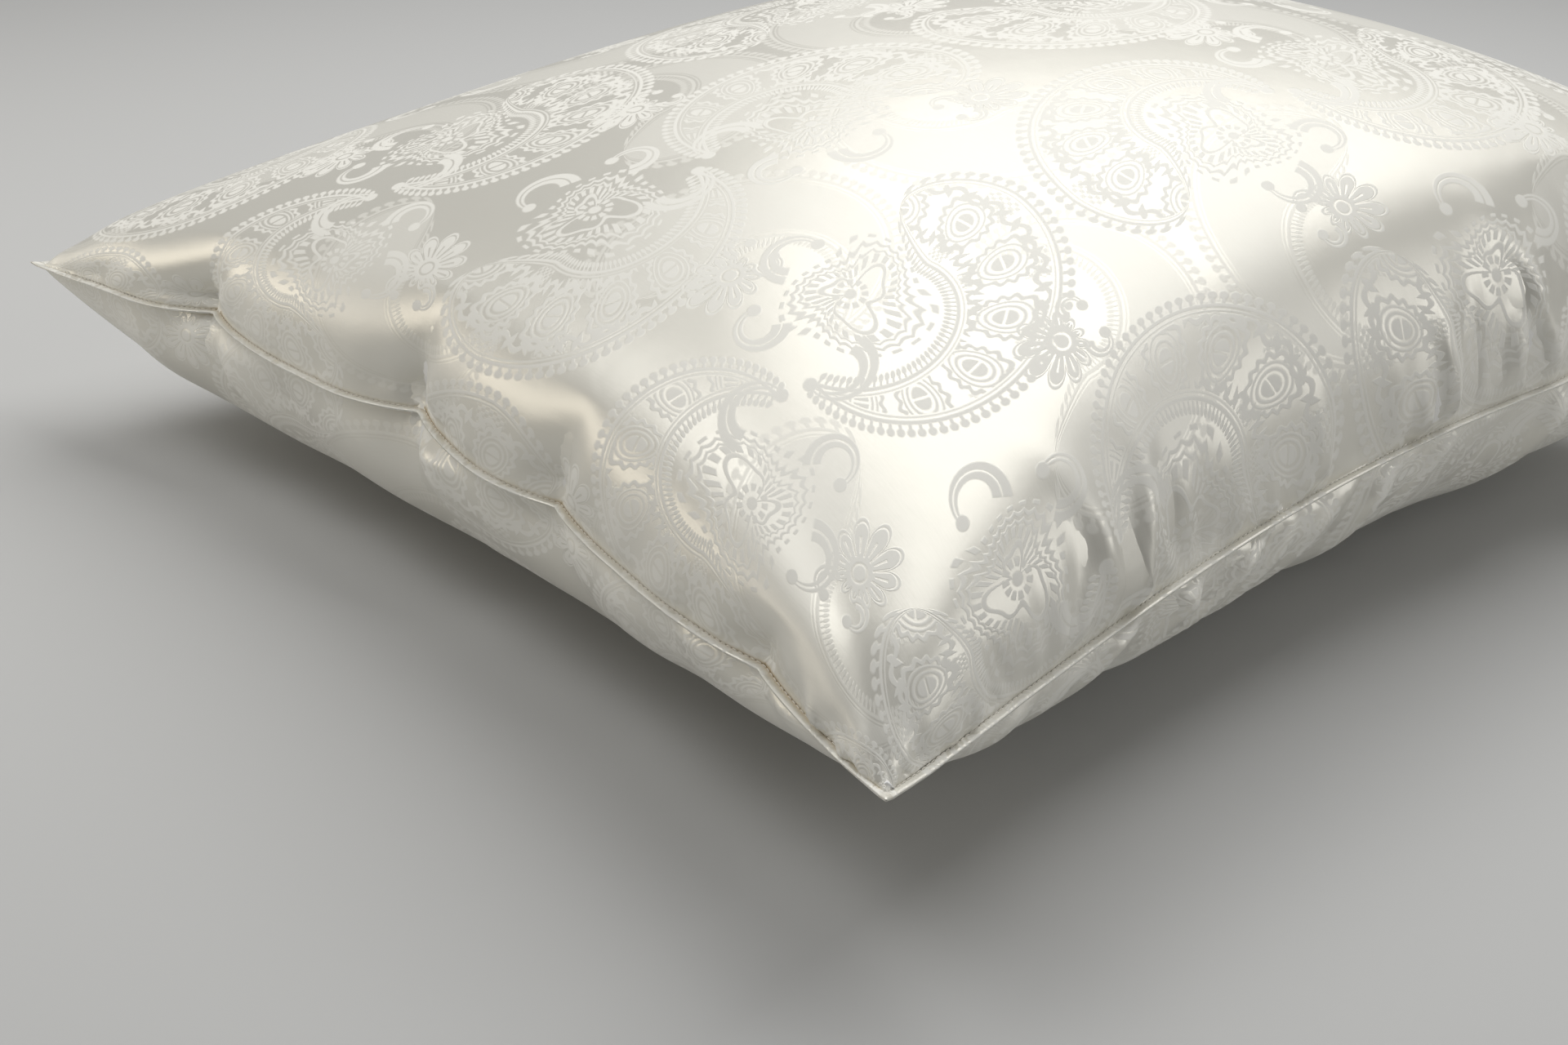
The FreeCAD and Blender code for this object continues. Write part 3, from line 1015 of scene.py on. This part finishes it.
def bump(tree, height, distance_m, strength, under=None):
    node = tree.nodes.new("ShaderNodeBump")
    node.inputs["Strength"].default_value = strength
    node.inputs["Distance"].default_value = distance_m
    tree.links.new(height.socket, node.inputs["Height"])
    if under is not None:
        tree.links.new(under, node.inputs["Normal"])
    return node.outputs["Normal"]


GROUND = (0.74, 0.72, 0.645)
MOTIF = (0.83, 0.815, 0.75)
# warm brown painted shadow for the seam's groove
GROOVE_SHADOW_COLOUR = (0.50, 0.36, 0.16)


def jacquard_material():
    """Ivory satin jacquard: a glossy warp ground, and motifs where the matt weft shows. A warm painted
    shadow darkens the front seam's groove.
    """
    material, tree, shader = new_material("jacquard")
    place = tree.nodes.new("ShaderNodeUVMap")
    place.uv_map = "cut"
    uv = place.outputs["UV"]
    mask = motif_mask(tree, uv)
    streaks = noise(tree, uv, 900, 2, (0.12, 1.0, 1.0))
    mottle = noise(tree, uv, 60, 3)
    share = (mask + (streaks - 0.5) * 0.25 + (mottle - 0.5) * 0.12).apply("MAXIMUM", 0.0, clamp=True)
    colour = blend_colours(tree, share.socket, GROUND, MOTIF)
    # painted shadow: the groove attribute blends the colour towards a warm brown in the seam's crevice
    groove = tree.nodes.new("ShaderNodeAttribute")
    groove.attribute_name = "groove"
    colour = blend_colours(tree, groove.outputs["Fac"], colour, GROOVE_SHADOW_COLOUR)
    tree.links.new(colour, shader.inputs["Base Color"])
    tree.links.new(mask.scaled(0, 1, 0.36, 0.56).socket, shader.inputs["Roughness"])
    tree.links.new(mask.scaled(0, 1, 0.42, 0.06).socket, shader.inputs["Metallic"])
    shader.inputs["Specular IOR Level"].default_value = 0.4
    shader.inputs["Sheen Weight"].default_value = 0.12
    shader.inputs["Sheen Roughness"].default_value = 0.5
    weave = bump(tree, streaks, 0.00004, 0.5)
    crinkle = bump(tree, noise(tree, uv, 45, 3), 0.0006, 0.35, weave)
    tree.links.new(bump(tree, mask, 0.00012, 0.6, crinkle), shader.inputs["Normal"])
    return material


def grained_material(name, grain, low, high, roughness, depth, strength, sheen=0.0):
    """Two shades by a grain that also stands up. The grain is its scale, detail and stretch."""
    material, tree, shader = new_material(name)
    place = tree.nodes.new("ShaderNodeTexCoord").outputs["Object"]
    pattern = noise(tree, place, *grain)
    colour = blend_colours(tree, pattern.socket, low, high)
    tree.links.new(colour, shader.inputs["Base Color"])
    shader.inputs["Roughness"].default_value = roughness
    shader.inputs["Sheen Weight"].default_value = sheen
    tree.links.new(bump(tree, pattern, depth, strength), shader.inputs["Normal"])
    return material


def thread_material():
    """Twisted sewing thread."""
    shades = (0.74, 0.70, 0.60), (0.88, 0.85, 0.77)
    return grained_material("sewing_thread", (1500, 2), *shades, 0.5, 0.0001, 0.5)


def down_material():
    """Down clusters: soft white tufts."""
    shades = (0.86, 0.85, 0.82), (0.97, 0.97, 0.96)
    return grained_material("down", (90, 6), *shades, 0.95, 0.004, 0.8, sheen=0.6)


def label_material():
    """White label satin with fine ribs, blank."""
    shades = (0.86, 0.86, 0.85), (0.95, 0.95, 0.94)
    return grained_material("label_satin", (1200, 2, (1.0, 0.2, 1.0)), *shades, 0.42, 0.0001, 0.4)


def cambric_material():
    """Downproof cotton: plain weave."""
    material, tree, shader = new_material("cambric")
    place = tree.nodes.new("ShaderNodeTexCoord").outputs["Object"]
    split = tree.nodes.new("ShaderNodeSeparateXYZ")
    tree.links.new(place, split.inputs[0])
    x = Number(tree, split.outputs["X"])
    y = Number(tree, split.outputs["Y"])
    weave = (x * 5200.0).sine() * (y * 5200.0).sine() * 0.5 + 0.5
    colour = blend_colours(tree, weave.socket, (0.80, 0.79, 0.75), (0.90, 0.89, 0.86))
    tree.links.new(colour, shader.inputs["Base Color"])
    shader.inputs["Roughness"].default_value = 0.8
    tree.links.new(bump(tree, weave, 0.0001, 0.3), shader.inputs["Normal"])
    return material


# ---- dressing the pieces ------------------------------------------------------------------
jacquard = jacquard_material()
sewing_thread = thread_material()
cambric = cambric_material()


def dress(piece, node, material):
    """Gives a piece its material, hangs it under the root body, and hides the CAD part that it stands
    for.
    """
    piece.data.materials.append(material)
    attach(piece, "root")
    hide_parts(node)


dress(top_panel, "top_panel", jacquard)
dress(bottom_panel, "bottom_panel", jacquard)
for side, piece in topstitching.items():
    node = "front_closing_stitching" if side == "front" else f"{side}_topstitching"
    dress(piece, node, sewing_thread)
dress(joining_thread, "joining_seam_thread", sewing_thread)
dress(ticking_top, "ticking_top", cambric)
dress(ticking_bottom, "ticking_bottom", cambric)
dress(ticking_thread, "ticking_seam_thread", sewing_thread)
dress(down, "down_fill", down_material())
dress(label, "care_label", label_material())

# ---- floor, light and camera --------------------------------------------------------------
FLOOR_GREY = (0.52, 0.52, 0.51)

bpy.ops.mesh.primitive_plane_add(size=40, location=(0, 0, 0))
floor = bpy.context.object
floor.name = "floor"
floor.data.materials.append(plain_material("floor", FLOOR_GREY, 0.8))


WHITE = (1.0, 1.0, 1.0)
WARM = (1.0, 0.93, 0.82)
# name, place, what it points at, size, watts, colour
LIGHTS = (
    ("key", (-0.22, 0.66, 1.6), (0, 0, 0.1), (2.1, 1.5), 27, WHITE),
    ("fill_high", (-0.9, -1.0, 1.8), (0, 0, 0.2), (1.2, 1.0), 12, WHITE),
    ("fill_low", (-1.3, -1.35, 0.5), (0, 0, 0.2), (1.4, 0.4), 4.5, WARM),
    ("edge", (1.5, 1.1, 0.75), (0.3, 0, 0.15), (0.35, 1.2), 5, WHITE),
)
WORLD_STRENGTH = 0.21


def area_light(name, place, target, size, watts, colour):
    light = bpy.data.lights.new(name, "AREA")
    light.shape = "RECTANGLE"
    light.size, light.size_y = size
    light.energy = watts
    light.color = colour
    lamp = bpy.data.objects.new(name, light)
    lamp.location = place
    lamp.rotation_euler = (Vector(target) - Vector(place)).to_track_quat("-Z", "Y").to_euler()
    bpy.context.scene.collection.objects.link(lamp)


for settings in LIGHTS:
    area_light(*settings)
world = bpy.data.worlds.new("studio")
world.use_nodes = True
world.node_tree.nodes["Background"].inputs["Color"].default_value = (*WHITE, 1)
world.node_tree.nodes["Background"].inputs["Strength"].default_value = WORLD_STRENGTH
bpy.context.scene.world = world

CAMERA_PLACE = (0.866, -0.840, 0.548)
CAMERA_AZIMUTH = math.radians(49.75)
CAMERA_ELEVATION = math.radians(26.52)
camera = bpy.data.objects.new("camera", bpy.data.cameras.new("camera"))
camera.data.lens = 50
camera.data.sensor_width = 36
camera.data.clip_start = 0.02
backwards = Vector((
    math.sin(CAMERA_AZIMUTH) * math.cos(CAMERA_ELEVATION),
    -math.cos(CAMERA_AZIMUTH) * math.cos(CAMERA_ELEVATION),
    math.sin(CAMERA_ELEVATION),
))
camera.location = CAMERA_PLACE
camera.rotation_euler = (-backwards).to_track_quat("-Z", "Y").to_euler()
bpy.context.scene.collection.objects.link(camera)
bpy.context.scene.camera = camera
bpy.context.scene.view_settings.view_transform = "Standard"

bpy.context.view_layer.update()
